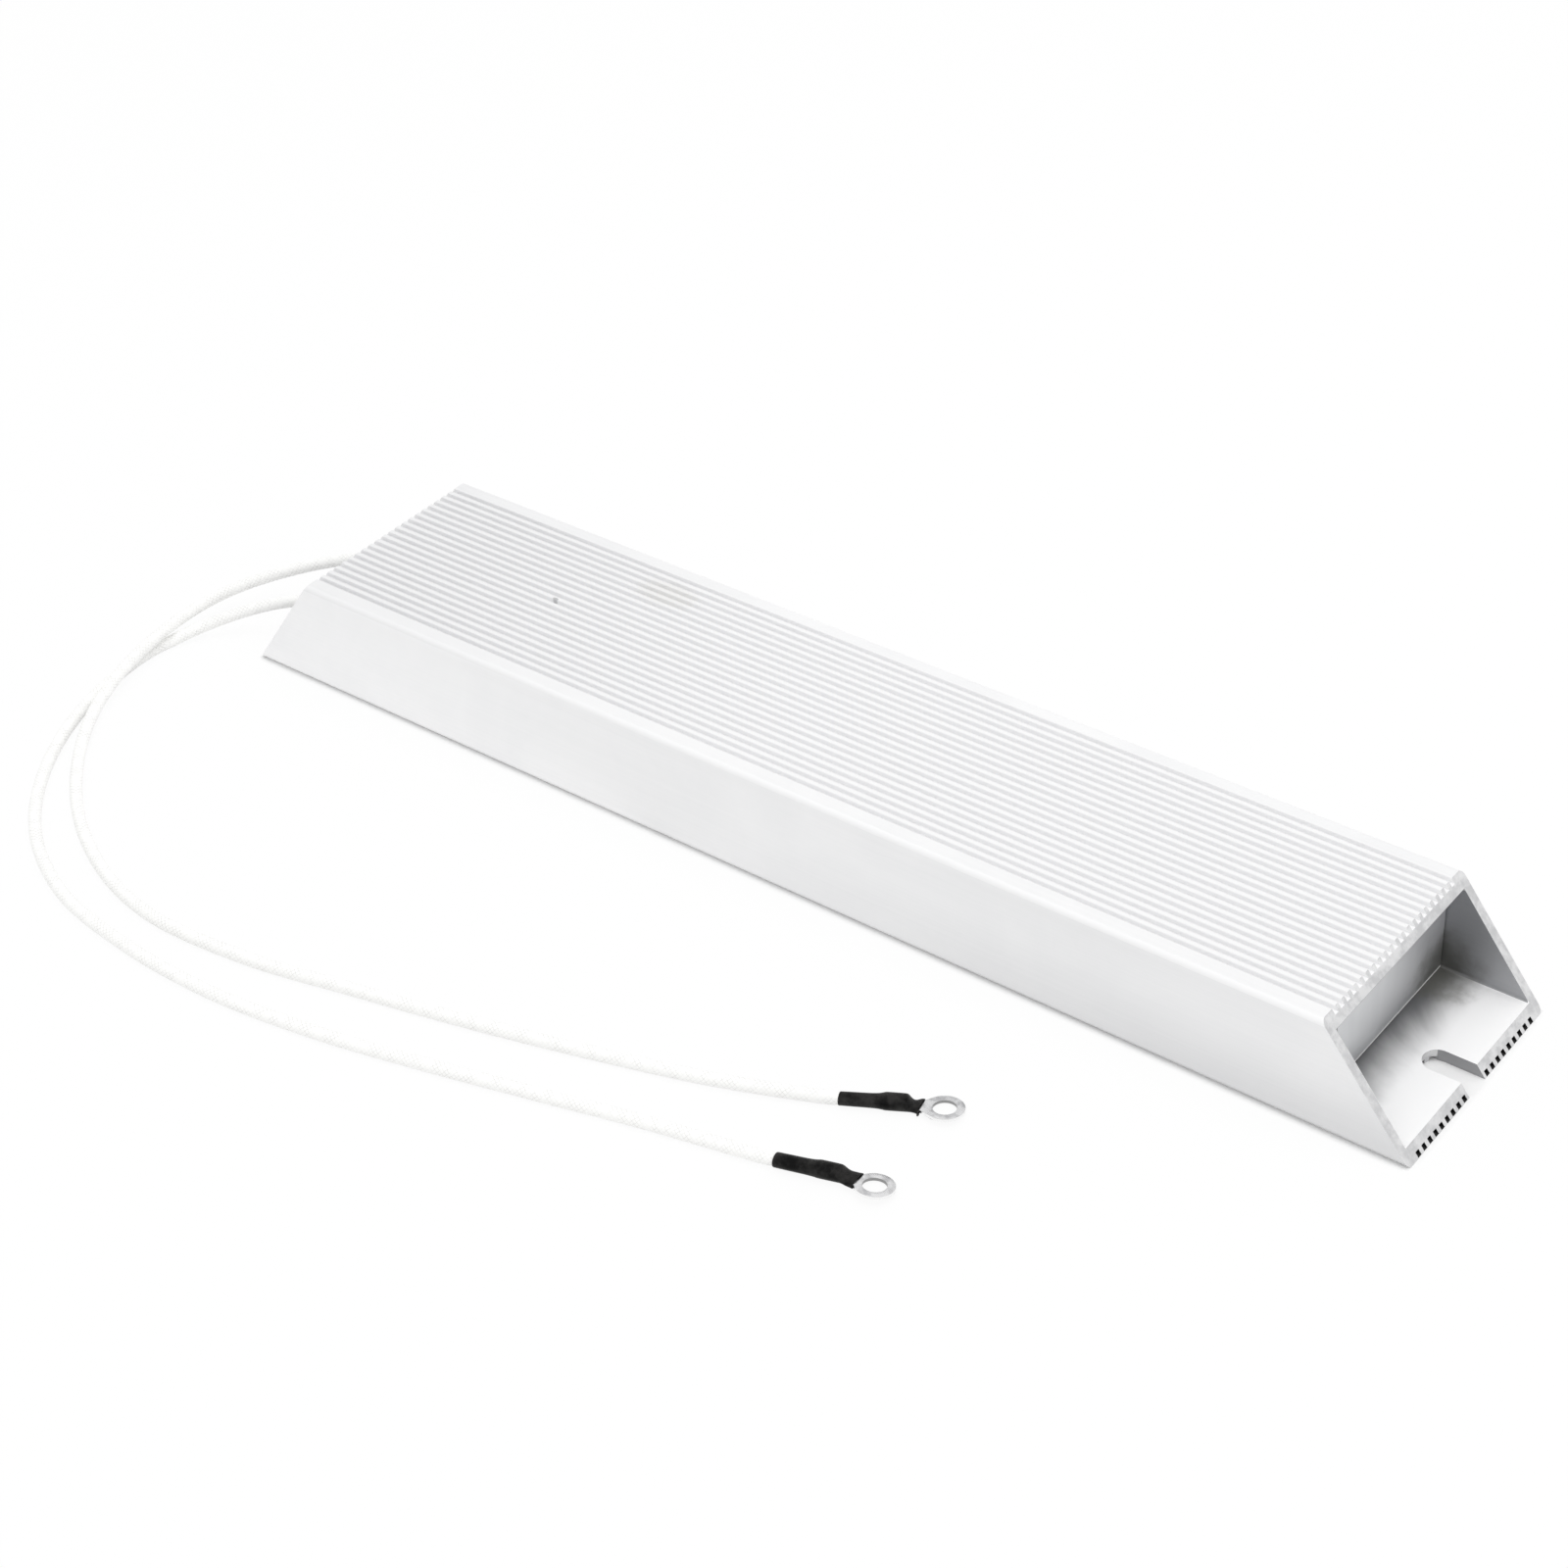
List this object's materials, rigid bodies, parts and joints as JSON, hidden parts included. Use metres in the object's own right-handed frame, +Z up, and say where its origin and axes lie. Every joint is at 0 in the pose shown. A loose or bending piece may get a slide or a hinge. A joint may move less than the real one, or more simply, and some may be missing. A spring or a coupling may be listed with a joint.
{
  "type": "aluminium housed power resistor",
  "caption": "Ribbed aluminium housed wirewound power resistor with mitred open ends, slotted feet and two braided leads with ring terminals.",
  "frame": {"origin": "centre of the housing's base, on the surface it rests on", "axes": "+X along the housing towards the plain end, -X the end the leads leave, +Y towards the back side wall, away from the laid leads, +Z up"},
  "size_m": [0.3612, 0.1649, 0.03],
  "materials": {
    "housing_aluminium": "satin extruded",
    "plate_aluminium": "rolled sheet",
    "bushing_ceramic": "matt unglazed",
    "rod_ceramic": "matt unglazed",
    "resistance_ribbon": "oxidised nickel alloy",
    "nickel_plate": "nickel plated",
    "splice_brass": "plain",
    "sand": "cast quartz sand",
    "glass_braid": "woven glass fibre",
    "shrink_black": "heat-shrunk polyolefin",
    "tinned_copper": "bright tinned"
  },
  "bodies": {
    "root": {"housing": "housing_aluminium", "end_plate_plain": "plate_aluminium", "end_plate_lead": "plate_aluminium", "bushing_back": "bushing_ceramic", "bushing_front": "bushing_ceramic", "rod_back": "rod_ceramic", "rod_front": "rod_ceramic", "winding_back": "resistance_ribbon", "winding_front": "resistance_ribbon", "cap_back_plain": "nickel_plate", "cap_front_plain": "nickel_plate", "cap_back_lead": "nickel_plate", "cap_front_lead": "nickel_plate", "series_link": "nickel_plate", "stud_back": "nickel_plate", "stud_front": "nickel_plate", "splice_back": "splice_brass", "splice_front": "splice_brass", "lead_tail_back": "glass_braid", "lead_tail_front": "glass_braid", "sand_fill": "sand", "lead_back": "glass_braid", "lead_front": "glass_braid", "ring_terminal_back": "tinned_copper", "ring_terminal_front": "tinned_copper", "heat_shrink_back": "shrink_black", "heat_shrink_front": "shrink_black"}
  },
  "joints": []
}
